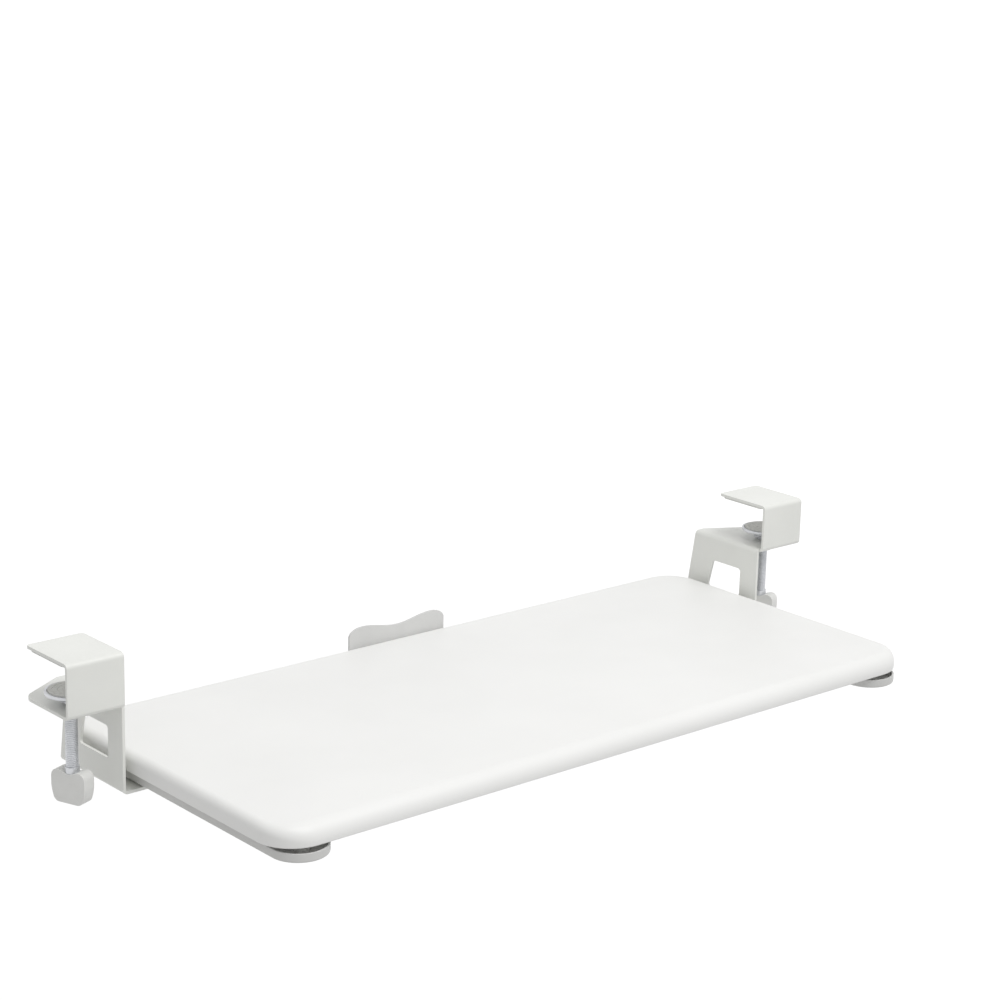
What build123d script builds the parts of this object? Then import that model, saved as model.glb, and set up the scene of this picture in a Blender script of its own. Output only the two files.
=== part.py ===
"""Slide-out keyboard tray that hangs under a desk from two screw clamps.

Frame: millimetres, +Z up, X across the tray, -Y towards the user. The origin is midway
between the clamps, on the desk edge, at the height of the desk top that the clamps grip.
The tray is modelled fully pulled out, with both clamps part way closed.
"""
import os
from math import atan2, degrees

from build123d import *

os.makedirs("parts", exist_ok=True)

# Tray board
board_width = 680.0
board_depth = 300.0
board_thickness = 16.0
board_corner_radius = 32.0
board_top_round = 7.0
board_bottom_round = 1.0
board_drop = 82.3          # from the desk top down to the top of the tray
board_rear_reach = 106.5   # from the desk edge back to the rear of the tray
pilot_spare = 0.5           # how much deeper a pilot hole is than its screw

# Clamp brackets, each one cut and bent from one sheet
sheet = 2.5
bend_inner_radius = 1.5
clamp_width = 50.0
side_plate_gap = 7.0       # from the side of the board to the side plate
top_jaw_depth = 57.0
clamp_height = 44.8
jaw_corner_radius = 3.0
lower_jaw_depth = 60.0
lower_jaw_corner = 8.0
side_plate_front = 1.8
side_plate_bottom_depth = 93.2
side_plate_top_depth = 82.2
relief_width = 0.3         # slot that parts the front bend from the side plate's bends
window_front_margin = 21.2
window_top_width = 36.0
window_bottom_width = 42.5
window_height = 26.8
window_sill = 24.1         # from the underside of the flange up to the window
window_corner = 3.0
flange_width = 58.0
flange_corner = 6.0

# Jaw pad
top_pad_thickness = 2.0
top_pad_margin = 1.5
top_pad_corner = 6.0

# Slide rails under the board
rail_width = 47.0
rail_sheet = 1.5
rail_depth = 7.3
rail_lip_gap = 3.6         # dark gap between the rail's lip and the board
rail_floor_round = 1.2
rail_middle_inset = 30.0   # from the side of the board to the middle of a rail
rail_front_overhang = 1.5  # how far the rail's round end reaches past the board
rail_rear_inset = 4.0
rail_dimple_diameter = 12.0
rail_dimple_front_inset = 19.0
rail_dimple_rear_inset = 9.0
rail_dimple_side_offset = 15.0
rail_slot_front_inset = 44.0

# Glide strip, shoulder bolts, washers and lock nuts on each flange
glide_clearance = 0.2
glide_strip_thickness = 1.0
glide_strip_width = 34.0
glide_strip_margin = 3.0
bolt_front_inset = 17.2
bolt_spacing = 56.0
shoulder_diameter = 8.0
slot_side_clearance = 0.4
bolt_head_diameter = 13.0
bolt_head_height = 2.6
bolt_hex_width = 4.0
bolt_hex_depth = 1.8
bolt_thread_diameter = 6.0
bolt_tip_length = 1.0
washer_diameter = 16.0
washer_thickness = 1.4
lock_nut_width = 10.0
lock_nut_height = 4.5
lock_nut_collar_diameter = 8.6
lock_nut_collar_height = 1.5
hole_clearance = 0.3

# Clamp screws and their welded nuts
screw_diameter = 10.0
screw_from_clamp_edge = 30.0
screw_from_desk_edge = 26.5
screw_thread_clearance = 0.3
weld_nut_width = 17.0
weld_nut_height = 8.0
jaw_opening = 26.0         # desk thickness held in this position
screw_tip_chamfer = 0.8
screw_end_diameter = 6.0   # turned down inside the knob

# Foot that presses against the underside of the desk
foot_diameter = 40.0
foot_plate_thickness = 2.0
foot_rim_height = 1.6
foot_rim_width = 2.2
foot_hub_diameter = 17.0
foot_hub_height = 4.0
foot_hub_wall = 2.0
foot_pad_thickness = 2.4
foot_pad_side_gap = 0.3
foot_socket_clearance = 0.3
neck_diameter = 7.0
screw_ball_height = 3.2
retainer_thickness = 1.0
retainer_gap = 0.2

# Wing knob and its ferrule
knob_width = 32.0
knob_height = 29.5
knob_thickness = 12.4
knob_lobe_radius = 9.0
knob_foot_width = 24.0
knob_foot_round = 4.0
knob_dip = 4.2
knob_edge_round = 2.0
knob_turn = -69.0          # direction of the wing in degrees from the X axis
knob_below_clamp = 48.3    # from the underside of the clamp down to the lobes
knob_bore_depth = 14.0
ferrule_diameter = 11.6
ferrule_seat = 1.2         # how deep the ferrule is set into the knob
ferrule_rise = 4.0         # from the bottom of the dip up to the ferrule's top

# Back stop plate on the rear edge of the board
stop_width = 106.0
stop_thickness = 2.0
stop_hump_rise = 16.6
stop_middle_rise = 11.6
stop_end_rise = 9.5
stop_hump_offset = 38.0
stop_foot_depth = 20.0
stop_bend_radius = 1.0
stop_foot_corner = 6.0

# Wood screws under the board
wood_screw_diameter = 4.0
wood_screw_head_diameter = 8.0
wood_screw_head_height = 2.2
wood_screw_length = 11.0
wood_screw_cross_width = 1.0
wood_screw_cross_length = 4.4
wood_screw_cross_depth = 1.2
wood_screw_tip = 1.4
stop_screw_spacing = 70.0
stop_screw_length = 10.0

# One overrun serves every cut that passes right through
overrun = 5.0

# Heights and places that follow from the sizes above
bend_outer_radius = bend_inner_radius + sheet
jaw_roof = top_pad_thickness
clamp_top = jaw_roof + sheet
clamp_bottom = clamp_top - clamp_height
jaw_floor = clamp_bottom + sheet
clamp_inner_edge = board_width / 2 + side_plate_gap + sheet
clamp_outer_edge = clamp_inner_edge + clamp_width
board_top = -board_drop
board_bottom = board_top - board_thickness
board_rear = board_rear_reach
board_front = board_rear - board_depth
board_middle = (board_front + board_rear) / 2
rail_x = board_width / 2 - rail_middle_inset
rail_top = board_bottom - rail_lip_gap
rail_bottom = rail_top - rail_depth
rail_floor = rail_bottom + rail_sheet
rail_front = board_front - rail_front_overhang
rail_rear = board_rear - rail_rear_inset
rail_length = rail_rear - rail_front
rail_middle = (rail_front + rail_rear) / 2
glide_top = rail_bottom - glide_clearance
flange_top = glide_top - glide_strip_thickness
flange_bottom = flange_top - sheet
bolt_front_y = side_plate_front + bolt_front_inset
bolt_rear_y = bolt_front_y + bolt_spacing
slot_width = shoulder_diameter + 2 * slot_side_clearance
slot_front = rail_front + rail_slot_front_inset
slot_rear = bolt_rear_y
dimple_ceiling = board_bottom - rail_sheet
dimple_front_y = rail_front + rail_dimple_front_inset
dimple_rear_y = rail_rear - rail_dimple_rear_inset
dimple_middle_y = (slot_front + bolt_front_y) / 2
screw_x = clamp_inner_edge + screw_from_clamp_edge
screw_y = screw_from_desk_edge
foot_top = -jaw_opening
foot_plate_top = foot_top - foot_pad_thickness
foot_plate_bottom = foot_plate_top - foot_plate_thickness
hub_bottom = foot_plate_bottom - foot_hub_height
knob_top = clamp_bottom - knob_below_clamp
knob_dip_level = knob_top - knob_dip
ferrule_top = knob_dip_level + ferrule_rise
ferrule_bottom = knob_dip_level - ferrule_seat
bolt_places = [bolt_front_y, bolt_rear_y]
dimple_places = [
    (rail_x, dimple_front_y),
    (rail_x - rail_dimple_side_offset, dimple_middle_y),
    (rail_x, dimple_rear_y),
]


def save(part, name):
    """Label a finished piece and write it to its own file."""
    part.label = name
    export_step(part, f"parts/{name}.step")


def mirrored(part):
    """The same piece on the other side of the tray."""
    return mirror(part, about=Plane.YZ)


# Clamp bracket: the C of the clamp, then the side plate and the flange that carries the rail
def clamp_bracket():
    with BuildPart() as bracket:
        with BuildSketch(Plane.YZ.offset(clamp_inner_edge)):
            with BuildLine():
                Polyline(
                    (top_jaw_depth, clamp_top),
                    (-sheet, clamp_top),
                    (-sheet, clamp_bottom),
                    (lower_jaw_depth, clamp_bottom),
                    (lower_jaw_depth, jaw_floor),
                    (0, jaw_floor),
                    (0, jaw_roof),
                    (top_jaw_depth, jaw_roof),
                    close=True,
                )
            make_face()
        extrude(amount=clamp_width)
        across = bracket.edges().filter_by(Axis.X)
        outer = [e for e in across if abs(e.center().Y + sheet) < hole_clearance]
        inner = [e for e in across if abs(e.center().Y) < hole_clearance]
        fillet(outer, bend_outer_radius)
        fillet(inner, bend_inner_radius)
        rear = bracket.edges().filter_by(Axis.Z).group_by(Axis.Y)[-1]
        fillet(rear.group_by(Axis.Z)[-1], jaw_corner_radius)

        # Relief slot beside the front bend; the side plate's bend then fills the rest of the cut
        with BuildSketch(Plane.XY.offset(clamp_bottom)):
            with Locations((clamp_inner_edge, side_plate_front - relief_width)):
                Rectangle(bend_inner_radius, lower_jaw_depth, align=(Align.MIN, Align.MIN))
        extrude(amount=sheet, mode=Mode.SUBTRACT)

        # Lower jaw, side plate and flange share one bent profile
        with BuildSketch(Plane.XZ.offset(-side_plate_front)):
            with BuildLine():
                Polyline(
                    (clamp_inner_edge + lower_jaw_corner, jaw_floor),
                    (clamp_inner_edge - sheet, jaw_floor),
                    (clamp_inner_edge - sheet, flange_top),
                    (clamp_inner_edge - flange_width, flange_top),
                    (clamp_inner_edge - flange_width, flange_bottom),
                    (clamp_inner_edge, flange_bottom),
                    (clamp_inner_edge, clamp_bottom),
                    (clamp_inner_edge + lower_jaw_corner, clamp_bottom),
                    close=True,
                )
            profile = make_face()
            corners = profile.vertices()
            outside = [
                v for v in corners
                if abs(v.X - clamp_inner_edge + sheet) < hole_clearance and v.Y > clamp_bottom
                or abs(v.X - clamp_inner_edge) < hole_clearance and v.Y < flange_top
            ]
            inside = [
                v for v in corners
                if abs(v.X - clamp_inner_edge + sheet) < hole_clearance and v.Y < clamp_bottom
                or abs(v.X - clamp_inner_edge) < hole_clearance and v.Y > flange_top
            ]
            fillet(outside, bend_outer_radius)
            fillet(inside, bend_inner_radius)
        extrude(amount=-side_plate_bottom_depth)

        # Rear of the lower jaw, slanting from the clamp back to the side plate
        with BuildSketch(Plane.XY.offset(clamp_bottom)):
            with BuildLine():
                Polyline(
                    (clamp_inner_edge, top_jaw_depth / 2),
                    (clamp_outer_edge, top_jaw_depth / 2),
                    (clamp_outer_edge, lower_jaw_depth),
                    (clamp_inner_edge + lower_jaw_corner, side_plate_front + side_plate_top_depth),
                    (clamp_inner_edge, side_plate_front + side_plate_top_depth),
                    close=True,
                )
            jaw = make_face()
            fillet(jaw.vertices().sort_by(Axis.X)[-1], lower_jaw_corner)
        extrude(amount=sheet)

        # Slanting rear edge of the side plate
        side_rear = side_plate_front + side_plate_bottom_depth
        top_rear = side_plate_front + side_plate_top_depth
        with BuildSketch(Plane.YZ.offset(clamp_inner_edge - sheet - overrun)):
            with BuildLine():
                Polyline(
                    (top_rear, jaw_floor + overrun),
                    (top_rear, clamp_bottom),
                    (side_rear, flange_top + bend_inner_radius),
                    (side_rear + overrun, flange_top + bend_inner_radius),
                    (side_rear + overrun, jaw_floor + overrun),
                    close=True,
                )
            make_face()
        extrude(amount=sheet + lower_jaw_corner + 2 * overrun, mode=Mode.SUBTRACT)

        # Window in the side plate
        window_floor = flange_bottom + window_sill
        window_roof = window_floor + window_height
        window_front = side_plate_front + window_front_margin
        with BuildSketch(Plane.YZ.offset(clamp_inner_edge - sheet - overrun)):
            with BuildLine():
                Polyline(
                    (window_front, window_floor),
                    (window_front, window_roof),
                    (window_front + window_top_width, window_roof),
                    (window_front + window_bottom_width, window_floor),
                    close=True,
                )
            window = make_face()
            fillet(window.vertices(), window_corner)
        extrude(amount=sheet + 2 * overrun, mode=Mode.SUBTRACT)

        # Rounded corners of the flange, and the holes for the bolts and the screw
        flange_ends = bracket.edges().filter_by(Axis.Z).group_by(Axis.X)[0]
        fillet(flange_ends, flange_corner)
        with Locations(Plane.XY.offset(flange_top)):
            with Locations([(rail_x, y) for y in bolt_places]):
                Hole((bolt_thread_diameter + hole_clearance) / 2, depth=sheet + overrun)
        with Locations(Plane.XY.offset(jaw_floor)):
            with Locations((screw_x, screw_y)):
                Hole((screw_diameter + 2 * screw_thread_clearance) / 2, depth=sheet + overrun)
    return bracket.part


# Rubber pad glued under the top jaw
def top_pad():
    with BuildPart() as pad:
        with BuildSketch(Plane.XY):
            with BuildLine():
                near = bend_inner_radius + top_pad_margin
                far = top_jaw_depth - top_pad_margin
                left = clamp_inner_edge + top_pad_margin
                right = clamp_outer_edge - top_pad_margin
                Polyline((left, near), (right, near), (right, far), (left, far), close=True)
            face = make_face()
            fillet(face.vertices(), top_pad_corner)
        extrude(amount=top_pad_thickness)
    return pad.part


# Hex nut welded under the lower jaw
def weld_nut():
    with BuildPart() as nut:
        with BuildSketch(Plane.XY.offset(clamp_bottom)):
            with Locations((screw_x, screw_y)):
                RegularPolygon(weld_nut_width / 2, 6, major_radius=False)
                Circle(screw_diameter / 2 + screw_thread_clearance, mode=Mode.SUBTRACT)
        extrude(amount=-weld_nut_height)
    return nut.part


# Clamp screw: threaded rod, neck and the ball end that turns in the foot
def clamp_screw():
    ball_bottom = foot_plate_bottom - foot_socket_clearance - screw_ball_height
    rod_top = hub_bottom - retainer_thickness - retainer_gap
    with BuildPart() as screw:
        with BuildSketch(Plane.XZ.offset(-screw_y)):
            with BuildLine():
                Polyline(
                    (screw_x, knob_dip_level - knob_bore_depth),
                    (screw_x + screw_end_diameter / 2, knob_dip_level - knob_bore_depth),
                    (screw_x + screw_end_diameter / 2, ferrule_bottom),
                    (screw_x + screw_diameter / 2, ferrule_bottom),
                    (screw_x + screw_diameter / 2, rod_top - screw_tip_chamfer),
                    (screw_x + screw_diameter / 2 - screw_tip_chamfer, rod_top),
                    (screw_x + neck_diameter / 2, rod_top),
                    (screw_x + neck_diameter / 2, ball_bottom),
                    (screw_x + screw_diameter / 2, ball_bottom),
                    (screw_x + screw_diameter / 2, ball_bottom + screw_ball_height / 2),
                    (screw_x + neck_diameter / 2, ball_bottom + screw_ball_height),
                    (screw_x, ball_bottom + screw_ball_height),
                    close=True,
                )
            make_face()
        revolve(axis=Axis((screw_x, screw_y, 0), (0, 0, 1)))
    return screw.part


# Foot: a pressed disc with a rim round its pad and a hub that holds the screw's end
def foot_disc():
    socket = screw_diameter / 2 + foot_socket_clearance
    with BuildPart() as disc:
        with BuildSketch(Plane.XZ.offset(-screw_y)):
            with BuildLine():
                Polyline(
                    (screw_x, foot_plate_top),
                    (screw_x + foot_diameter / 2 - foot_rim_width, foot_plate_top),
                    (screw_x + foot_diameter / 2 - foot_rim_width, foot_plate_top + foot_rim_height),
                    (screw_x + foot_diameter / 2, foot_plate_top + foot_rim_height),
                    (screw_x + foot_diameter / 2, foot_plate_top - foot_rim_width / 2),
                    (screw_x + foot_hub_diameter / 2 + foot_hub_wall, foot_plate_bottom),
                    (screw_x + foot_hub_diameter / 2, foot_plate_bottom - foot_hub_wall / 2),
                    (screw_x + foot_hub_diameter / 2, hub_bottom),
                    (screw_x + socket, hub_bottom),
                    (screw_x + socket, foot_plate_bottom),
                    (screw_x, foot_plate_bottom),
                    close=True,
                )
            make_face()
        revolve(axis=Axis((screw_x, screw_y, 0), (0, 0, 1)))
    return disc.part


# Rubber pad set inside the rim of the foot
def foot_pad():
    with BuildPart() as pad:
        with BuildSketch(Plane.XY.offset(foot_plate_top)):
            with Locations((screw_x, screw_y)):
                Circle(foot_diameter / 2 - foot_rim_width - foot_pad_side_gap)
        extrude(amount=foot_pad_thickness)
    return pad.part


# Retaining ring under the hub that keeps the screw's end in the foot
def foot_retainer():
    with BuildPart() as ring:
        with BuildSketch(Plane.XY.offset(hub_bottom)):
            with Locations((screw_x, screw_y)):
                Circle(foot_hub_diameter / 2)
                Circle(neck_diameter / 2 + foot_socket_clearance, mode=Mode.SUBTRACT)
        extrude(amount=-retainer_thickness)
    return ring.part


# Wing knob: two lobes with a dip between them, moulded round the lower end of the screw
def knob(turn):
    wing = Plane(
        origin=(screw_x, screw_y, knob_top),
        x_dir=Vector(1, 0, 0).rotate(Axis.Z, turn),
        z_dir=Vector(0, -1, 0).rotate(Axis.Z, turn),
    )
    half = knob_width / 2
    lobe = half - knob_lobe_radius
    waist = half - knob_foot_width / 2
    with BuildPart() as wing_knob:
        with BuildSketch(wing.offset(-knob_thickness / 2)):
            with BuildLine():
                left_lobe = ThreePointArc(
                    (-half, -knob_lobe_radius),
                    (-lobe - knob_lobe_radius / 2**0.5, -knob_lobe_radius + knob_lobe_radius / 2**0.5),
                    (-lobe, 0),
                )
                dip = Spline(
                    left_lobe @ 1,
                    (0, -knob_dip),
                    (lobe, 0),
                    tangents=[(1, 0), (1, 0)],
                )
                right_lobe = ThreePointArc(
                    dip @ 1,
                    (lobe + knob_lobe_radius / 2**0.5, -knob_lobe_radius + knob_lobe_radius / 2**0.5),
                    (half, -knob_lobe_radius),
                )
                right_side = Spline(
                    right_lobe @ 1,
                    (half - waist, -knob_height),
                    tangents=[(0, -1), (-waist, -waist)],
                )
                base = Line(right_side @ 1, (-half + waist, -knob_height))
                Spline(
                    base @ 1,
                    left_lobe @ 0,
                    tangents=[(-waist, waist), (0, 1)],
                )
            outline = make_face()
            fillet(outline.vertices().group_by(Axis.Y)[0], knob_foot_round)
        extrude(amount=knob_thickness)
        fillet(wing_knob.faces().filter_by(GeomType.PLANE).filter_by(
            lambda f: abs(f.normal_at().Z) < overrun / knob_height).edges(), knob_edge_round)
        with BuildSketch(Plane.XY.offset(ferrule_bottom)):
            with Locations((screw_x, screw_y)):
                Circle(ferrule_diameter / 2)
        extrude(amount=ferrule_seat + ferrule_rise, mode=Mode.SUBTRACT)
        with BuildSketch(Plane.XY.offset(ferrule_bottom)):
            with Locations((screw_x, screw_y)):
                Circle(screw_end_diameter / 2)
        extrude(amount=ferrule_seat - knob_bore_depth, mode=Mode.SUBTRACT)
    return wing_knob.part


# Steel ferrule set in the knob round the screw
def knob_ferrule():
    with BuildPart() as ferrule:
        with BuildSketch(Plane.XY.offset(ferrule_bottom)):
            with Locations((screw_x, screw_y)):
                Circle(ferrule_diameter / 2)
                Circle(screw_diameter / 2, mode=Mode.SUBTRACT)
        extrude(amount=ferrule_seat + ferrule_rise)
    return ferrule.part


# Slide rail: a shallow pressed pan with round ends, a long slot and dimples for its screws
def slide_rail():
    with BuildPart() as rail:
        with BuildSketch(Plane.XY.offset(rail_bottom)):
            with Locations((rail_x, rail_middle)):
                SlotOverall(rail_length, rail_width, rotation=90)
        extrude(amount=rail_depth)
        fillet(rail.faces().sort_by(Axis.Z)[0].edges(), rail_floor_round)
        with BuildSketch(Plane.XY.offset(rail_floor)):
            with Locations((rail_x, rail_middle)):
                SlotOverall(rail_length - 2 * rail_sheet, rail_width - 2 * rail_sheet, rotation=90)
        extrude(amount=rail_depth, mode=Mode.SUBTRACT)
        with BuildSketch(Plane.XY.offset(rail_floor)):
            with Locations(dimple_places):
                Circle(rail_dimple_diameter / 2)
        extrude(amount=board_bottom - rail_floor)
        with BuildSketch(Plane.XY.offset(rail_bottom)):
            with Locations(dimple_places):
                Circle(rail_dimple_diameter / 2 - rail_sheet)
        extrude(amount=dimple_ceiling - rail_bottom, mode=Mode.SUBTRACT)
        with BuildSketch(Plane.XY.offset(rail_bottom)):
            with Locations(dimple_places):
                Circle(wood_screw_diameter / 2)
            slot_length = slot_rear - slot_front + slot_width
            with Locations((rail_x, (slot_front + slot_rear) / 2)):
                SlotOverall(slot_length, slot_width, rotation=90)
        extrude(amount=rail_depth + overrun, mode=Mode.SUBTRACT)
    return rail.part


# Low-friction strip glued on the flange under the rail
def glide_strip():
    length = side_plate_bottom_depth - 2 * glide_strip_margin
    with BuildPart() as strip:
        with BuildSketch(Plane.XY.offset(flange_top)):
            with Locations((rail_x, side_plate_front + side_plate_bottom_depth / 2)):
                RectangleRounded(glide_strip_width, length, glide_strip_margin)
            with Locations([(rail_x, y) for y in bolt_places]):
                Circle(shoulder_diameter / 2 + hole_clearance, mode=Mode.SUBTRACT)
        extrude(amount=glide_strip_thickness)
    return strip.part


# Shoulder bolts through the rail's slot: the tray hangs on their heads and slides past them
def shoulder_bolts():
    shoulder_top = rail_floor + glide_clearance + washer_thickness
    head_top = shoulder_top + bolt_head_height
    tip = flange_bottom - lock_nut_height - lock_nut_collar_height - bolt_tip_length
    with BuildPart() as bolts:
        for y in bolt_places:
            with BuildSketch(Plane.XY.offset(tip)):
                with Locations((rail_x, y)):
                    Circle(bolt_thread_diameter / 2)
            extrude(amount=flange_top - tip)
            with BuildSketch(Plane.XY.offset(flange_top)):
                with Locations((rail_x, y)):
                    Circle(shoulder_diameter / 2)
            extrude(amount=shoulder_top - flange_top)
            with BuildSketch(Plane.XY.offset(shoulder_top)):
                with Locations((rail_x, y)):
                    Circle(bolt_head_diameter / 2)
            extrude(amount=bolt_head_height)
            with BuildSketch(Plane.XY.offset(head_top)):
                with Locations((rail_x, y)):
                    RegularPolygon(bolt_hex_width / 2, 6, major_radius=False)
            extrude(amount=-bolt_hex_depth, mode=Mode.SUBTRACT)
        rims = bolts.edges().filter_by(GeomType.CIRCLE).group_by(Axis.Z)[-1]
        chamfer(rims, bolt_hex_depth / 3)
    return bolts.part


# Nylon washers under the bolt heads
def glide_washers():
    with BuildPart() as washers:
        with BuildSketch(Plane.XY.offset(rail_floor + glide_clearance)):
            with Locations([(rail_x, y) for y in bolt_places]):
                Circle(washer_diameter / 2)
                Circle(shoulder_diameter / 2 + hole_clearance, mode=Mode.SUBTRACT)
        extrude(amount=washer_thickness)
    return washers.part


# Lock nuts under the flange: a hexagon with a round collar
def lock_nuts():
    with BuildPart() as nuts:
        with BuildSketch(Plane.XY.offset(flange_bottom)):
            with Locations([(rail_x, y) for y in bolt_places]):
                RegularPolygon(lock_nut_width / 2, 6, major_radius=False)
        extrude(amount=-lock_nut_height)
        with BuildSketch(Plane.XY.offset(flange_bottom - lock_nut_height)):
            with Locations([(rail_x, y) for y in bolt_places]):
                Circle(lock_nut_collar_diameter / 2)
        extrude(amount=-lock_nut_collar_height)
        with BuildSketch(Plane.XY.offset(flange_bottom)):
            with Locations([(rail_x, y) for y in bolt_places]):
                Circle(bolt_thread_diameter / 2)
        extrude(amount=-lock_nut_height - lock_nut_collar_height, mode=Mode.SUBTRACT)
    return nuts.part


# A wood screw driven upwards, its head under the piece that it holds
def wood_screws(places, head_level, length):
    with BuildPart() as screws:
        for x, y in places:
            with BuildSketch(Plane.XY.offset(head_level)):
                with Locations((x, y)):
                    Circle(wood_screw_head_diameter / 2)
            extrude(amount=-wood_screw_head_height)
            with BuildSketch(Plane.XY.offset(head_level)):
                with Locations((x, y)):
                    Circle(wood_screw_diameter / 2)
            extrude(amount=length - wood_screw_tip)
            with BuildSketch(Plane.XY.offset(head_level + length - wood_screw_tip)):
                with Locations((x, y)):
                    Circle(wood_screw_diameter / 2)
            extrude(amount=wood_screw_tip, taper=degrees(atan2(wood_screw_tip, wood_screw_tip)) / 2)
            with BuildSketch(Plane.XY.offset(head_level - wood_screw_head_height)):
                with Locations((x, y)):
                    Rectangle(wood_screw_cross_length, wood_screw_cross_width)
                    Rectangle(wood_screw_cross_width, wood_screw_cross_length)
            extrude(amount=wood_screw_cross_depth, mode=Mode.SUBTRACT)
        rims = screws.edges().filter_by(GeomType.CIRCLE).group_by(Axis.Z)[0]
        chamfer(rims, wood_screw_head_height / 3)
    return screws.part


# Tray board: one panel with round corners and a soft upper edge
stop_screw_y = board_rear - stop_foot_depth / 2
stop_screw_places = [(-stop_screw_spacing / 2, stop_screw_y), (stop_screw_spacing / 2, stop_screw_y)]
rail_holes = dimple_places + [(-x, y) for x, y in dimple_places]

with BuildPart() as tray_board:
    with BuildSketch(Plane.XY.offset(board_bottom)):
        with Locations((0, board_middle)):
            RectangleRounded(board_width, board_depth, board_corner_radius)
    extrude(amount=board_thickness)
    fillet(tray_board.faces().sort_by(Axis.Z)[-1].edges(), board_top_round)
    fillet(tray_board.faces().sort_by(Axis.Z)[0].edges(), board_bottom_round)
    for holes, depth in (
        (rail_holes, wood_screw_length - rail_sheet + pilot_spare),
        (stop_screw_places, stop_screw_length - stop_thickness + pilot_spare),
    ):
        with BuildSketch(Plane.XY.offset(board_bottom)):
            with Locations(holes):
                Circle(wood_screw_diameter / 2)
        extrude(amount=depth, mode=Mode.SUBTRACT)
save(tray_board.part, "tray_board")

# Back stop: a bent plate with a wavy top that keeps things from sliding off the back
with BuildPart() as back_stop:
    plate_front = board_rear
    plate_rear = plate_front + stop_thickness
    foot_bottom = board_bottom - stop_thickness
    with BuildSketch(Plane.YZ.offset(-stop_width / 2)):
        with BuildLine():
            Polyline(
                (board_rear - stop_foot_depth, board_bottom),
                (plate_front, board_bottom),
                (plate_front, board_top + stop_hump_rise),
                (plate_rear, board_top + stop_hump_rise),
                (plate_rear, foot_bottom),
                (board_rear - stop_foot_depth, foot_bottom),
                close=True,
            )
        make_face()
    extrude(amount=stop_width)
    heel = back_stop.edges().filter_by(Axis.X).group_by(Axis.Z)[0].sort_by(Axis.Y)[-1]
    fillet(heel, stop_bend_radius + stop_thickness / 2)
    foot_ends = back_stop.edges().filter_by(Axis.Z).group_by(Axis.Y)[0]
    fillet(foot_ends, stop_foot_corner)
    with BuildSketch(Plane.XZ.offset(-plate_rear - overrun)):
        with BuildLine():
            half_stop = stop_width / 2
            wave = Spline(
                (-half_stop, board_top + stop_end_rise),
                (-stop_hump_offset, board_top + stop_hump_rise),
                (0, board_top + stop_middle_rise),
                (stop_hump_offset, board_top + stop_hump_rise),
                (half_stop, board_top + stop_end_rise),
                tangents=[(0, 1), (0, -1)],
            )
            Polyline(
                wave @ 1,
                (half_stop + overrun, board_top + stop_end_rise),
                (half_stop + overrun, board_top + stop_hump_rise + overrun),
                (-half_stop - overrun, board_top + stop_hump_rise + overrun),
                (-half_stop - overrun, board_top + stop_end_rise),
                wave @ 0,
            )
        make_face()
    extrude(amount=stop_thickness + 2 * overrun, mode=Mode.SUBTRACT)
    with BuildSketch(Plane.XY.offset(foot_bottom)):
        with Locations(stop_screw_places):
            Circle(wood_screw_diameter / 2)
    extrude(amount=stop_thickness, mode=Mode.SUBTRACT)
save(back_stop.part, "back_stop")
save(wood_screws(stop_screw_places, board_bottom - stop_thickness, stop_screw_length), "back_stop_screws")

# The pieces that both sides share, made on the right and mirrored to the left
side_pieces = {
    "clamp_bracket": clamp_bracket(),
    "top_pad": top_pad(),
    "weld_nut": weld_nut(),
    "clamp_screw": clamp_screw(),
    "foot_disc": foot_disc(),
    "foot_pad": foot_pad(),
    "foot_retainer": foot_retainer(),
    "knob_ferrule": knob_ferrule(),
    "slide_rail": slide_rail(),
    "glide_strip": glide_strip(),
    "shoulder_bolts": shoulder_bolts(),
    "glide_washers": glide_washers(),
    "lock_nuts": lock_nuts(),
    "rail_screws": wood_screws(dimple_places, dimple_ceiling, wood_screw_length),
}
for piece_name, piece in side_pieces.items():
    save(piece, f"right_{piece_name}")
    save(mirrored(piece), f"left_{piece_name}")

# Both knobs stand at the same turn, so the left one is made at the opposite turn and mirrored
save(knob(knob_turn), "right_knob")
save(mirrored(knob(-knob_turn)), "left_knob")
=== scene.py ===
"""Slide-out keyboard tray on two screw clamps, dressed for rendering.

Metres, +Z up, X across the tray, -Y towards the user. The sections follow the tray as it is put
together: the board, the clamp brackets, the screws with their feet and knobs, the slide under the
board, and the back stop.
"""
from math import atan2, cos, radians, sin, tan

import bmesh
import bpy
from mathutils import Matrix, Vector


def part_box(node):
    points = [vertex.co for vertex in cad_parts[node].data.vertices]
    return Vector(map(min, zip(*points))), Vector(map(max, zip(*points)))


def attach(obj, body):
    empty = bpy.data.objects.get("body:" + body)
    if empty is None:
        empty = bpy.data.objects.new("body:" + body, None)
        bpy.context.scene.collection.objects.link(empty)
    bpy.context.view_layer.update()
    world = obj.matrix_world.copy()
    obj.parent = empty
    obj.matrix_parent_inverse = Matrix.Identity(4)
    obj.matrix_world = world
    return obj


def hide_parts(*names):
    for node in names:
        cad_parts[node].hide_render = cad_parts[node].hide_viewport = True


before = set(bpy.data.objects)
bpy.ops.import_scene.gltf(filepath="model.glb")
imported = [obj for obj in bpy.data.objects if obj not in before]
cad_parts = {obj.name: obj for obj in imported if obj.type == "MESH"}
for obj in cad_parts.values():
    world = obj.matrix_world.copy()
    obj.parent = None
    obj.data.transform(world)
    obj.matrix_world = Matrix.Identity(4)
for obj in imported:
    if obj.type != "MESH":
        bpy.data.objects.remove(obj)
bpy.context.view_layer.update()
sides = {"left": -1, "right": 1}

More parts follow.
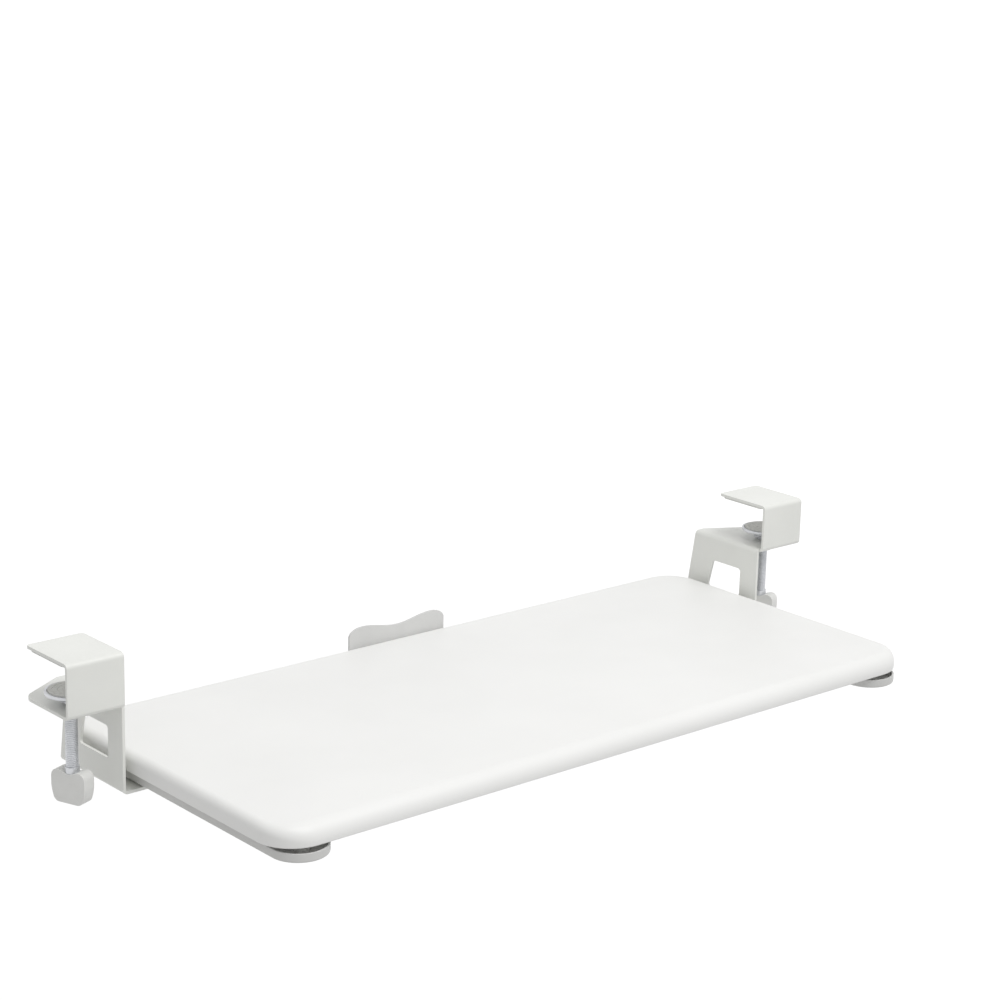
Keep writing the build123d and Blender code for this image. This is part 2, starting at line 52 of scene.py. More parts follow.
# The view. A long lens looks from the user's left, a little above the tray, and is tilted by a
# degree or so, as the photograph is.
lens_mm, sensor_mm = 89.31, 36.0
camera_place = Vector((-1.2979, -1.5275, 0.6203))
camera_yaw, camera_pitch, camera_roll = radians(40.88), radians(15.42), radians(1.39)
forward = Vector((
    sin(camera_yaw) * cos(camera_pitch),
    cos(camera_yaw) * cos(camera_pitch),
    -sin(camera_pitch),
))
sideways = Vector((cos(camera_yaw), -sin(camera_yaw), 0))
lift = sideways.cross(forward)
to_right = sideways * cos(camera_roll) + lift * sin(camera_roll)
to_top = lift * cos(camera_roll) - sideways * sin(camera_roll)
camera_data = bpy.data.cameras.new("camera")
camera_data.lens, camera_data.sensor_width = lens_mm, sensor_mm
camera_data.clip_end = 200
camera = bpy.data.objects.new("camera", camera_data)
camera_turn = Matrix((to_right, to_top, -forward)).transposed().to_4x4()
camera.matrix_world = Matrix.Translation(camera_place) @ camera_turn
bpy.context.scene.collection.objects.link(camera)
bpy.context.scene.camera = camera
bpy.context.scene.view_settings.view_transform = "Standard"

# The light. One wide soft lamp hangs high above the tray, a little in front of it, and an even
# white room fills the rest. What the camera and the shiny parts see of the room is pure white.
lamp_place = Vector((0.35, -1.45, 2.85))
lamp_size, lamp_watts = 2.2, 50.0
room_strength = 0.615
lamp_data = bpy.data.lights.new("key_lamp", "AREA")
lamp_data.shape, lamp_data.size, lamp_data.energy = "SQUARE", lamp_size, lamp_watts
lamp = bpy.data.objects.new("key_lamp", lamp_data)
lamp.rotation_mode = "QUATERNION"
lamp.rotation_quaternion = (-lamp_place).to_track_quat("-Z", "Y")
lamp.location = lamp_place
bpy.context.scene.collection.objects.link(lamp)


def seen_directly(tree):
    """1 for rays of the camera, of reflections and of glass, and 0 for the light that falls on things."""
    rays = tree.nodes.new("ShaderNodeLightPath")
    either = tree.nodes.new("ShaderNodeMath")
    either.operation = "MAXIMUM"
    tree.links.new(rays.outputs["Is Camera Ray"], either.inputs[0])
    tree.links.new(rays.outputs["Is Glossy Ray"], either.inputs[1])
    any_of_them = tree.nodes.new("ShaderNodeMath")
    any_of_them.operation = "MAXIMUM"
    tree.links.new(either.outputs[0], any_of_them.inputs[0])
    tree.links.new(rays.outputs["Is Transmission Ray"], any_of_them.inputs[1])
    return any_of_them.outputs[0]


room = bpy.data.worlds.new("white_room")
room.use_nodes = True
room_light = room.node_tree.nodes["Background"]
room_light.inputs["Color"].default_value = (1, 1, 1, 1)
room_level = room.node_tree.nodes.new("ShaderNodeMapRange")
room_level.inputs["To Min"].default_value = room_strength
room_level.inputs["To Max"].default_value = 1
room.node_tree.links.new(seen_directly(room.node_tree), room_level.inputs["Value"])
room.node_tree.links.new(room_level.outputs["Result"], room_light.inputs["Strength"])
bpy.context.scene.world = room

# The floor. A pale floor as far down as a room's floor would be, which takes the tray's soft shadow
# and fades to white further out. From below it lets the view through.
floor_drop, floor_half = 0.72, 60.0
floor_tone, near_glow, far_glow = 0.66, 0.50, 0.75
glow_start, glow_end = 1.2, 4.0
floor_shape = bmesh.new()
bmesh.ops.create_grid(floor_shape, x_segments=1, y_segments=1, size=floor_half)
bmesh.ops.translate(floor_shape, vec=(0, 0, -floor_drop), verts=floor_shape.verts)
floor_mesh = bpy.data.meshes.new("floor")
floor_shape.to_mesh(floor_mesh)
floor_shape.free()
floor_paint = bpy.data.materials.new("pale_floor")
floor_paint.use_nodes = True
tree = floor_paint.node_tree
tree.nodes.remove(tree.nodes["Principled BSDF"])
place = tree.nodes.new("ShaderNodeTexCoord")
away = tree.nodes.new("ShaderNodeVectorMath")
away.operation = "LENGTH"
glow = tree.nodes.new("ShaderNodeMapRange")
glow.interpolation_type = "SMOOTHSTEP"
glow.inputs["From Min"].default_value, glow.inputs["From Max"].default_value = glow_start, glow_end
glow.inputs["To Min"].default_value, glow.inputs["To Max"].default_value = near_glow, far_glow
glow_seen = tree.nodes.new("ShaderNodeMath")
glow_seen.operation = "MULTIPLY"
matt = tree.nodes.new("ShaderNodeBsdfDiffuse")
matt.inputs["Color"].default_value = (floor_tone, floor_tone, floor_tone, 1)
shine = tree.nodes.new("ShaderNodeEmission")
both = tree.nodes.new("ShaderNodeAddShader")
clear = tree.nodes.new("ShaderNodeBsdfTransparent")
side = tree.nodes.new("ShaderNodeNewGeometry")
one_sided = tree.nodes.new("ShaderNodeMixShader")
tree.links.new(place.outputs["Object"], away.inputs[0])
tree.links.new(away.outputs["Value"], glow.inputs["Value"])
tree.links.new(glow.outputs["Result"], glow_seen.inputs[0])
tree.links.new(seen_directly(tree), glow_seen.inputs[1])
tree.links.new(glow_seen.outputs[0], shine.inputs["Strength"])
tree.links.new(matt.outputs[0], both.inputs[0])
tree.links.new(shine.outputs[0], both.inputs[1])
tree.links.new(side.outputs["Backfacing"], one_sided.inputs[0])
tree.links.new(both.outputs[0], one_sided.inputs[1])
tree.links.new(clear.outputs[0], one_sided.inputs[2])
tree.links.new(one_sided.outputs[0], tree.nodes["Material Output"].inputs["Surface"])
floor_mesh.materials.append(floor_paint)
floor = bpy.data.objects.new("floor", floor_mesh)
bpy.context.scene.collection.objects.link(floor)

# The board. One fibreboard panel with a white matt film pressed over its top and its rounded edges.
# The front edge is rounded more widely, for the wrists, and eases to the sides round both corners.
# The film ends just inside the lower edge, where the thin white backing of the underside begins.
board_low, board_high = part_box("tray_board")
board_corner, board_top_round, board_bottom_round = 0.032, 0.007, 0.001
front_round = 0.013
film_lap, film_step, smallest_underside = 0.0028, 0.00012, 0.05
same_place, cut_edge_angle = 1e-6, radians(50)
film_white, film_shade = (0.90, 0.90, 0.885, 1), (0.872, 0.872, 0.857, 1)


def block(low, high):
    """A box between two corners."""
    shape = bmesh.new()
    bmesh.ops.create_cube(shape, size=1)
    bmesh.ops.scale(shape, vec=high - low, verts=shape.verts)
    bmesh.ops.translate(shape, vec=(low + high) / 2, verts=shape.verts)
    return shape


def bevel_edges(shape, edges, size, segments):
    """Rounds these edges."""
    bmesh.ops.bevel(
        shape, geom=edges, offset=size, offset_type="OFFSET", segments=segments,
        profile=0.5, affect="EDGES", clamp_overlap=True, material=-1,
    )


def upright_edges(shape):
    """The edges that stand upright."""
    return [e for e in shape.edges if (e.verts[1].co - e.verts[0].co).xy.length < same_place]


def edges_at_height(shape, height):
    """The edges that lie level at one height."""
    return [e for e in shape.edges if all(abs(v.co.z - height) < same_place for v in e.verts)]


def make_piece(name, shape, material, sharp_from=40, thickness=0.0, edge_round=0.0, edge_steps=2):
    """Turns a shape into a smoothly shaded object, its edges sharp where they turn by more than an angle.

    The middle surface of a sheet gets its thickness here. Cut edges can be rounded too.
    """
    bmesh.ops.recalc_face_normals(shape, faces=shape.faces)
    mesh = bpy.data.meshes.new(name)
    shape.to_mesh(mesh)
    shape.free()
    mesh.shade_smooth()
    mesh.set_sharp_from_angle(angle=radians(sharp_from))
    mesh.materials.append(material)
    piece = bpy.data.objects.new(name, mesh)
    bpy.context.scene.collection.objects.link(piece)
    if thickness:
        thick = piece.modifiers.new("sheet", "SOLIDIFY")
        thick.thickness, thick.offset, thick.use_even_offset = thickness, 0, True
    if edge_round:
        soft = piece.modifiers.new("cut_edges", "BEVEL")
        soft.width, soft.segments = edge_round, edge_steps
        soft.limit_method, soft.angle_limit = "ANGLE", cut_edge_angle
    even = piece.modifiers.new("even_shading", "WEIGHTED_NORMAL")
    even.keep_sharp = True
    return piece


class Finish:
    """A material whose colour, roughness and relief come from patterns on the piece's own coordinates."""

    colour_span, roughness_span = (0.35, 0.65), (0.3, 0.7)

    def __init__(self, name, metallic=0.0):
        self.material = bpy.data.materials.new(name)
        self.material.use_nodes = True
        self.tree = self.material.node_tree
        self.shader = self.tree.nodes["Principled BSDF"]
        self.shader.inputs["Metallic"].default_value = metallic
        self.place = self.tree.nodes.new("ShaderNodeTexCoord").outputs["Object"]

    def stretched(self, stretch):
        mapping = self.tree.nodes.new("ShaderNodeMapping")
        mapping.inputs["Scale"].default_value = stretch
        self.tree.links.new(self.place, mapping.inputs["Vector"])
        return mapping.outputs["Vector"]

    def noise(self, scale, detail=2.0, stretch=(1, 1, 1)):
        texture = self.tree.nodes.new("ShaderNodeTexNoise")
        texture.inputs["Scale"].default_value = scale
        texture.inputs["Detail"].default_value = detail
        self.tree.links.new(self.stretched(stretch), texture.inputs["Vector"])
        return texture.outputs["Fac"]

    def specks(self, scale, size):
        texture = self.tree.nodes.new("ShaderNodeTexVoronoi")
        texture.inputs["Scale"].default_value = scale
        self.tree.links.new(self.place, texture.inputs["Vector"])
        return self.spread(texture.outputs["Distance"], 0, size, 1, 0)

    def spread(self, source, low, high, to_low, to_high):
        scaled = self.tree.nodes.new("ShaderNodeMapRange")
        for socket, value in zip(("From Min", "From Max", "To Min", "To Max"), (low, high, to_low, to_high)):
            scaled.inputs[socket].default_value = value
        self.tree.links.new(source, scaled.inputs["Value"])
        return scaled.outputs["Result"]

    def colour(self, pattern, first, second):
        mix = self.tree.nodes.new("ShaderNodeMix")
        mix.data_type = "RGBA"
        mix.inputs[6].default_value, mix.inputs[7].default_value = first, second
        self.tree.links.new(self.spread(pattern, *self.colour_span, 0, 1), mix.inputs["Factor"])
        self.tree.links.new(mix.outputs[2], self.shader.inputs["Base Color"])

    def roughness(self, pattern, low, high):
        spread = self.spread(pattern, *self.roughness_span, low, high)
        self.tree.links.new(spread, self.shader.inputs["Roughness"])

    def relief(self, height, depth, strength=1.0):
        bump = self.tree.nodes.new("ShaderNodeBump")
        bump.inputs["Distance"].default_value = depth
        bump.inputs["Strength"].default_value = strength
        self.tree.links.new(height, bump.inputs["Height"])
        if self.shader.inputs["Normal"].links:
            self.tree.links.new(self.shader.inputs["Normal"].links[0].from_socket, bump.inputs["Normal"])
        self.tree.links.new(bump.outputs["Normal"], self.shader.inputs["Normal"])


film = Finish("white_matt_film")
film.colour(film.noise(scale=7, detail=4), film_white, film_shade)
film.roughness(film.noise(scale=35, detail=5), low=0.36, high=0.46)
film.relief(film.noise(scale=45, detail=3), depth=0.00012, strength=0.35)
film.relief(film.noise(scale=1300, detail=2), depth=0.00003, strength=0.5)

board_shape = block(board_low, board_high)
bevel_edges(board_shape, upright_edges(board_shape), board_corner, segments=24)
bevel_edges(board_shape, edges_at_height(board_shape, board_high.z), board_top_round, segments=16)
bevel_edges(board_shape, edges_at_height(board_shape, board_low.z), board_bottom_round, segments=3)
corner_x, corner_y = board_high.x - board_corner, board_low.y + board_corner
for vert in board_shape.verts:
    depth = board_high.z - vert.co.z
    if depth > board_top_round + same_place or vert.co.y > corner_y - same_place:
        continue
    corner = Vector((max(-corner_x, min(corner_x, vert.co.x)), corner_y, vert.co.z))
    outward = (vert.co - corner).normalized()
    fall = 1 - depth / board_top_round
    inset = 1 - (max(0.0, 1 - fall * fall)) ** 0.5
    radius = board_top_round + (front_round - board_top_round) * outward.y ** 2
    vert.co -= outward * (radius - board_top_round) * inset
    vert.co.z = board_high.z - radius * (1 - fall)
underside = [
    f for f in board_shape.faces if f.normal.z < -0.999 and f.calc_area() > smallest_underside
]
bmesh.ops.inset_region(board_shape, faces=underside, thickness=film_lap, depth=0)
bmesh.ops.inset_region(board_shape, faces=underside, thickness=film_step, depth=-film_step)
board = make_piece("board", board_shape, film.material)
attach(board, "tray")
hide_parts("tray_board")

# The clamp brackets. Each is one steel sheet, cut flat and then bent: a C with the two jaws, a side
# plate with a window, and a flange that carries the slide. Slots cut beside the bends keep the
# corners from tearing. The sheet is powder coated white, with the fine orange peel of that coat.
sheet, bend_middle = 0.0025, 0.00275
clamp_width, clamp_height = 0.050, 0.0448
top_jaw_depth, lower_jaw_depth, lower_jaw_corner = 0.0570, 0.060, 0.008
side_plate_top, side_plate_bottom = 0.084, 0.095
flange_corner = 0.006
window_front, window_top_rear, window_bottom_rear = 0.023, 0.059, 0.0655
window_floor, window_height, window_corner = 0.0241, 0.0268, 0.003
jaw_corner, cut_edge_round = 0.003, 0.0003
relief_front, relief_width, relief_depth = 0.0016, 0.0006, 0.0030
coat_light, coat_shade = (0.848, 0.855, 0.818, 1), (0.818, 0.825, 0.788, 1)
bolt_hole, screw_hole = 0.00315, 0.0053
bolt_ys = (0.019, 0.075)
screw_x, screw_y = 0.3795, 0.0265
rail_x = 0.3100

coat = Finish("white_powder_coat")
coat.colour(coat.noise(scale=18, detail=4), coat_light, coat_shade)
coat.roughness(coat.noise(scale=220, detail=3), low=0.34, high=0.5)
coat.relief(coat.noise(scale=650, detail=2), depth=0.00006, strength=0.5)
coat.relief(coat.noise(scale=2200, detail=1), depth=0.00002, strength=0.4)
coat.shader.inputs["Coat Weight"].default_value = 0.3
coat.shader.inputs["Coat Roughness"].default_value = 0.22


def add_panel(shape, corners):
    """Adds a flat panel with these corners, joined to its neighbours where they share a corner."""
    shape.faces.new([shape.verts.new(corner) for corner in corners])
    bmesh.ops.remove_doubles(shape, verts=shape.verts, dist=same_place)


def edge_between(shape, first, second):
    """The edge that joins two places."""
    for edge in shape.edges:
        ends = [v.co for v in edge.verts]
        for a, b in (ends, ends[::-1]):
            if (a - Vector(first)).length < same_place and (b - Vector(second)).length < same_place:
                return edge


def round_corners(shape, places, radius, segments=6):
    """Rounds the corners of panels at these places and returns the new points."""
    corners = [v for v in shape.verts for p in places if (v.co - Vector(p)).length < same_place]
    rounded = bmesh.ops.bevel(
        shape, geom=corners, offset=radius, offset_type="OFFSET", segments=segments,
        profile=0.5, affect="VERTICES", clamp_overlap=True, material=-1,
    )
    return rounded["verts"]


def ring_of(shape, radius, place, turn=Matrix(), sides=32):
    """The edges of a circle or, with few sides, of a polygon."""
    made = bmesh.ops.create_circle(
        shape, cap_ends=False, radius=radius, segments=sides, matrix=Matrix.Translation(place) @ turn,
    )
    return list({e for v in made["verts"] for e in v.link_edges})


def panel_at(shape, middle, normal):
    """The largest flat face that faces along a direction, near a place."""
    flat = [f for f in shape.faces if abs(f.normal.dot(normal)) > 0.999]
    near = [f for f in flat if abs((f.calc_center_median() - middle).dot(normal)) < 1e-4]
    return max(near, key=lambda f: f.calc_area())


def open_panel(shape, panel, rings):
    """Cuts openings into a flat panel: fills again between its outline and the rings."""
    outline = list(panel.edges)
    bmesh.ops.delete(shape, geom=[panel], context="FACES_ONLY")
    bmesh.ops.triangle_fill(
        shape, use_beauty=True, use_dissolve=False, edges=outline + [e for r in rings for e in r],
    )


def to_left(shape, sign):
    """Mirrors a shape made on the right where the sign is that of the left side."""
    bmesh.ops.scale(shape, vec=(sign, 1, 1), verts=shape.verts)


def build_bracket():
    """The middle surface of the bent sheet, on the right side."""
    bracket_low, bracket_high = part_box("right_clamp_bracket")
    roof = bracket_high.z - sheet / 2
    jaw = bracket_high.z - clamp_height + sheet / 2
    flange = bracket_low.z + sheet / 2
    front, outer = -sheet / 2, bracket_high.x
    inner, side = outer - clamp_width, outer - clamp_width - sheet / 2
    relief_x = inner + relief_depth - sheet / 2
    side_front = relief_front + relief_width
    shape = bmesh.new()
    add_panel(shape, [
        (inner, top_jaw_depth, roof), (inner, front, roof),
        (outer, front, roof), (outer, top_jaw_depth, roof),
    ])
    add_panel(shape, [(inner, front, roof), (inner, front, jaw), (outer, front, jaw), (outer, front, roof)])
    add_panel(shape, [
        (outer, front, jaw), (inner, front, jaw), (inner, relief_front, jaw), (relief_x, relief_front, jaw),
        (relief_x, side_front, jaw), (side, side_front, jaw), (side, side_plate_top, jaw),
        (inner + lower_jaw_corner, side_plate_top, jaw), (outer, lower_jaw_depth, jaw),
    ])
    add_panel(shape, [
        (side, side_plate_top, jaw), (side, side_front, jaw),
        (side, side_front, flange), (side, side_plate_bottom, flange),
    ])
    add_panel(shape, [
        (side, side_front, flange), (side, side_plate_bottom, flange),
        (bracket_low.x, side_plate_bottom, flange), (bracket_low.x, side_front, flange),
    ])
    bmesh.ops.recalc_face_normals(shape, faces=shape.faces)
    round_corners(shape, [(inner, top_jaw_depth, roof), (outer, top_jaw_depth, roof)], jaw_corner)
    round_corners(shape, [(outer, lower_jaw_depth, jaw)], lower_jaw_corner, segments=8)
    round_corners(shape, [
        (bracket_low.x, side_plate_bottom, flange), (bracket_low.x, side_front, flange),
    ], flange_corner)
    bends = [
        edge_between(shape, (inner, front, roof), (outer, front, roof)),
        edge_between(shape, (inner, front, jaw), (outer, front, jaw)),
        edge_between(shape, (side, side_front, jaw), (side, side_plate_top, jaw)),
        edge_between(shape, (side, side_front, flange), (side, side_plate_bottom, flange)),
    ]
    bevel_edges(shape, bends, bend_middle, segments=8)
    shape.normal_update()

    plate = panel_at(shape, Vector((side, 0, 0)), Vector((1, 0, 0)))
    sill = bracket_low.z + window_floor
    window = [
        (side, window_front, sill), (side, window_front, sill + window_height),
        (side, window_top_rear, sill + window_height), (side, window_bottom_rear, sill),
    ]
    add_panel(shape, window)
    rim = {e for v in round_corners(shape, window, window_corner, segments=5) for e in v.link_edges}
    bmesh.ops.delete(shape, geom=[f for f in shape.faces if set(f.edges) == rim], context="FACES_ONLY")
    open_panel(shape, plate, [list(rim)])

    carrier = panel_at(shape, Vector((0, 0, flange)), Vector((0, 0, 1)))
    open_panel(shape, carrier, [ring_of(shape, bolt_hole, (rail_x, y, flange)) for y in bolt_ys])
    grip = panel_at(shape, Vector((0, 0, jaw)), Vector((0, 0, 1)))
    open_panel(shape, grip, [ring_of(shape, screw_hole, (screw_x, screw_y, jaw))])
    return shape


for name, sign in sides.items():
    bracket_shape = build_bracket()
    to_left(bracket_shape, sign)
    bracket = make_piece(
        f"{name}_bracket", bracket_shape, coat.material, sharp_from=60,
        thickness=sheet, edge_round=cut_edge_round, edge_steps=3,
    )
    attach(bracket, "brackets")
    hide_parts(f"{name}_clamp_bracket")

# The top pads. A strip of light foam rubber is glued under each upper jaw, so that the steel leaves
# no mark. It is die cut with round corners and ends just short of the sheet's edges.
pad_corner, pad_edge_round = 0.006, 0.0004
foam_light, foam_shade = (0.77, 0.77, 0.745, 1), (0.71, 0.71, 0.685, 1)

foam = Finish("light_foam_rubber")
foam.colour(foam.noise(scale=700, detail=3), foam_light, foam_shade)
foam.roughness(foam.noise(scale=300), low=0.72, high=0.9)
foam.relief(foam.specks(scale=1500, size=0.4), depth=0.00015, strength=0.6)

for name, sign in sides.items():
    pad_low, pad_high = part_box(f"{name}_top_pad")
    pad_shape = block(pad_low, pad_high)
    bevel_edges(pad_shape, upright_edges(pad_shape), pad_corner, segments=8)
    bevel_edges(pad_shape, edges_at_height(pad_shape, pad_low.z), pad_edge_round, segments=2)
    pad = make_piece(f"{name}_pad", pad_shape, foam.material)
    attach(pad, "brackets")
    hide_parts(f"{name}_top_pad")

# The welded nuts. A hexagon nut is welded under each lower jaw by three short beads, and is coated
# white together with the bracket. The clamp screw runs in it.
nut_width, nut_bore, nut_land, nut_points, corner_fall = 0.017, 0.0052, 0.475, 48, radians(30)
bead_length, bead_radius, bead_steps, bead_swing = 0.0075, 0.0013, 6, 0.88


def hexagon_ring(shape, width, place, land=0.0, end=0):
    """A hexagon of many points, made from a circle. Beyond the land its corners fall back."""
    ring = ring_of(shape, width / 2, place, sides=nut_points)
    for vert in {v for e in ring for v in e.verts}:
        out = vert.co - place
        vert.co = place + out / cos(atan2(out.y, out.x) % radians(60) - radians(30))
        past_land = (vert.co - place).length - land
        if end and past_land > 0:
            vert.co.z -= end * past_land * tan(corner_fall)
    return ring


def hexagon_nut(width, bore, low, high, middle):
    """A hexagon nut between two heights, with a plain bore. Its corners are turned off at both ends."""
    shape = bmesh.new()
    rings = []
    for height, end in ((low, -1), (high, 1)):
        place = Vector((middle.x, middle.y, height))
        land = width * nut_land
        loops = [
            ring_of(shape, bore, place, sides=nut_points),
            ring_of(shape, land, place, sides=nut_points),
            hexagon_ring(shape, width, place, land, end),
        ]
        rings += loops if end < 0 else loops[::-1]
    for first, second in zip(rings, rings[1:] + rings[:1]):
        bmesh.ops.bridge_loops(shape, edges=first + second)
    return shape


for name, sign in sides.items():
    nut_low, nut_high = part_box("right_weld_nut")
    nut_middle = Vector((sign * screw_x, screw_y, 0))
    nut_shape = hexagon_nut(nut_width, nut_bore, nut_low.z, nut_high.z, nut_middle)
    for bead_side in (30, 150, 270):
        for step in range(bead_steps):
            along = (step / (bead_steps - 1) - 0.5) * bead_length
            drop = Matrix.Translation((sign * screw_x, screw_y, nut_high.z - bead_radius / 3))
            bead = Matrix.Translation((nut_width / 2, along, 0))
            spot = Matrix.Rotation(radians(bead_side), 4, "Z") @ bead
            size = bead_radius * (1.0 if step % 2 else bead_swing)
            bmesh.ops.create_uvsphere(
                nut_shape, u_segments=14, v_segments=8, radius=size, matrix=drop @ spot,
            )
    for vert in nut_shape.verts:
        vert.co.z = min(vert.co.z, nut_high.z)
    nut = make_piece(f"{name}_welded_nut", nut_shape, coat.material)
    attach(nut, "brackets")
    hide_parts(f"{name}_weld_nut")

# The clamp screws. Each is a zinc plated M10 rod with a rolled thread of 1.5 mm pitch. Its upper end
# is turned to a neck and a ball that stay in the foot, and its lower end is thinner, inside the knob.
pitch, crest_radius, root_radius, turn_steps = 0.0015, 0.005, 0.00445, 32
ball_edge_round, rod_edge_round = 0.0003, 0.0004
neck_radius, ball_radius, ball_height, rod_end, rod_gap = 0.0035, 0.005, 0.0032, 0.003, 0.0002
rod_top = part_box("right_foot_retainer")[0].z - rod_gap
ferrule_low, ferrule_high = (corner.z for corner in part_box("right_knob_ferrule"))
zinc_light, zinc_shade = (0.64, 0.65, 0.67, 1), (0.58, 0.59, 0.61, 1)

zinc = Finish("bright_zinc", metallic=1.0)
zinc.colour(zinc.noise(scale=120, detail=4), zinc_light, zinc_shade)
zinc.roughness(zinc.noise(scale=260, detail=4), low=0.38, high=0.52)
zinc.relief(zinc.noise(scale=900, detail=3), depth=0.00003, strength=0.4)


def turned(profile, middle, steps=64, closed=False):
    """A round body on an upright axis, spun from a profile of radii and heights."""
    shape = bmesh.new()
    points = [shape.verts.new((middle.x + radius, middle.y, height)) for radius, height in profile]
    for first, second in zip(points, points[1:]):
        shape.edges.new((first, second))
    if closed:
        shape.edges.new((points[-1], points[0]))
    bmesh.ops.spin(
        shape, geom=shape.verts[:] + shape.edges[:], cent=middle, axis=(0, 0, 1), dvec=(0, 0, 0),
        angle=radians(360), steps=steps, use_merge=True,
    )
    bmesh.ops.remove_doubles(shape, verts=shape.verts, dist=same_place)
    bmesh.ops.recalc_face_normals(shape, faces=shape.faces)
    return shape


def soften(shape, size, segments=2, over=30):
    """Rounds every edge at which the surface turns by more than an angle."""
    shape.normal_update()
    sharp = [e for e in shape.edges if len(e.link_faces) == 2 and e.calc_face_angle() > radians(over)]
    bevel_edges(shape, sharp, size, segments)


def add_copy(shape, other):
    """Moves one shape's faces into another."""
    passed = bpy.data.meshes.new("passed")
    other.to_mesh(passed)
    other.free()
    shape.from_mesh(passed)
    bpy.data.meshes.remove(passed)


def threaded(crest, root, lead, low, high, middle):
    """A rod with a real thread: one tooth's profile wound up a helix and cut off level at both ends."""
    shape = bmesh.new()
    start = low - 2 * lead
    tooth = ((root, 0), (root, 0.16), (crest, 0.42), (crest, 0.74), (root, 1))
    points = [
        shape.verts.new((middle.x + radius, middle.y, start + share * lead)) for radius, share in tooth
    ]
    for first, second in zip(points, points[1:]):
        shape.edges.new((first, second))
    turns = int((high - low) / lead) + 4
    bmesh.ops.spin(
        shape, geom=shape.verts[:] + shape.edges[:], cent=middle, axis=(0, 0, 1),
        dvec=(0, 0, lead / turn_steps), angle=radians(360) * turns, steps=turn_steps * turns,
    )
    bmesh.ops.remove_doubles(shape, verts=shape.verts, dist=lead / 50)
    for height, facing in ((low, -1), (high, 1)):
        cut = bmesh.ops.bisect_plane(
            shape, geom=shape.verts[:] + shape.edges[:] + shape.faces[:], dist=1e-7,
            plane_co=(0, 0, height), plane_no=(0, 0, facing), clear_outer=True,
        )
        rim = [e for e in cut["geom_cut"] if isinstance(e, bmesh.types.BMEdge)]
        bmesh.ops.edgeloop_fill(shape, edges=rim)
    bmesh.ops.recalc_face_normals(shape, faces=shape.faces)
    return shape


for name, sign in sides.items():
    screw_low, screw_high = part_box("right_clamp_screw")
    ball_low = screw_high.z - ball_height
    screw_middle = Vector((sign * screw_x, screw_y, 0))
    screw_shape = threaded(crest_radius, root_radius, pitch, ferrule_low, rod_top, screw_middle)
    head = turned([
        (0, rod_top - pitch), (neck_radius, rod_top - pitch), (neck_radius, ball_low),
        (ball_radius, ball_low), (ball_radius, ball_low + ball_height / 2),
        (neck_radius, screw_high.z), (0, screw_high.z),
    ], screw_middle)
    soften(head, ball_edge_round)
    add_copy(screw_shape, head)
    tail = turned([
        (0, screw_low.z), (rod_end, screw_low.z),
        (rod_end, ferrule_low + pitch), (0, ferrule_low + pitch),
    ], screw_middle)
    soften(tail, rod_edge_round)
    add_copy(screw_shape, tail)
    screw = make_piece(f"{name}_screw", screw_shape, zinc.material, sharp_from=35)
    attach(screw, f"{name}_screw")
    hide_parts(f"{name}_clamp_screw")

# The feet. A zinc plated disc closes the jaws from below. Its rim holds a rubber pad with ring
# grooves, and a retaining ring pressed into its hub keeps the screw's ball inside.
disc_radius, rim_width, rim_height, disc_sheet = 0.020, 0.0022, 0.0016, 0.002
hub_radius, hub_wall, socket_radius = 0.0085, 0.002, 0.0053
pad_radius, pad_height, groove_width, groove_depth = 0.0175, 0.0024, 0.0010, 0.0005
groove_radii = (0.0055, 0.0095, 0.0135)
ring_bore = 0.0038
disc_edge_round, sole_edge_round, keeper_edge_round, round_steps = 0.0005, 0.0002, 0.00025, 80

foot_foam = Finish("ringed_foot_rubber")
foot_foam.colour(foot_foam.noise(scale=400, detail=3), foam_light, foam_shade)
foot_foam.roughness(foot_foam.noise(scale=300), low=0.6, high=0.8)
foot_foam.relief(foot_foam.noise(scale=1800, detail=2), depth=0.00006, strength=0.5)

for name, sign in sides.items():
    disc_low, disc_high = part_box("right_foot_disc")
    plate = disc_high.z - rim_height
    hub = plate - disc_sheet
    foot_middle = Vector((sign * screw_x, screw_y, 0))
    disc_shape = turned([
        (0, plate), (disc_radius - rim_width, plate), (disc_radius - rim_width, disc_high.z),
        (disc_radius, disc_high.z), (disc_radius, plate - rim_width / 2),
        (hub_radius + hub_wall, hub), (hub_radius, hub - hub_wall / 2), (hub_radius, disc_low.z),
        (socket_radius, disc_low.z), (socket_radius, hub), (0, hub),
    ], foot_middle, steps=round_steps)
    soften(disc_shape, disc_edge_round, segments=3)
    disc = make_piece(f"{name}_disc", disc_shape, zinc.material)
    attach(disc, f"{name}_foot")
    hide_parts(f"{name}_foot_disc")

    profile = [(0, plate), (pad_radius, plate), (pad_radius, plate + pad_height)]
    for radius in reversed(groove_radii):
        profile += [
            (radius + groove_width / 2, plate + pad_height), (radius, plate + pad_height - groove_depth),
            (radius - groove_width / 2, plate + pad_height),
        ]
    profile.append((0, plate + pad_height))
    sole_shape = turned(profile, foot_middle, steps=round_steps)
    soften(sole_shape, sole_edge_round)
    sole = make_piece(f"{name}_sole", sole_shape, foot_foam.material)
    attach(sole, f"{name}_foot")
    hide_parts(f"{name}_foot_pad")

    keeper_low, keeper_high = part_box("right_foot_retainer")
    keeper_shape = turned([
        (ring_bore, keeper_low.z), (hub_radius, keeper_low.z), (hub_radius, keeper_high.z),
        (ring_bore, keeper_high.z),
    ], foot_middle, closed=True)
    soften(keeper_shape, keeper_edge_round)
    keeper = make_piece(f"{name}_retainer", keeper_shape, zinc.material)
    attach(keeper, f"{name}_foot")
    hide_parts(f"{name}_foot_retainer")

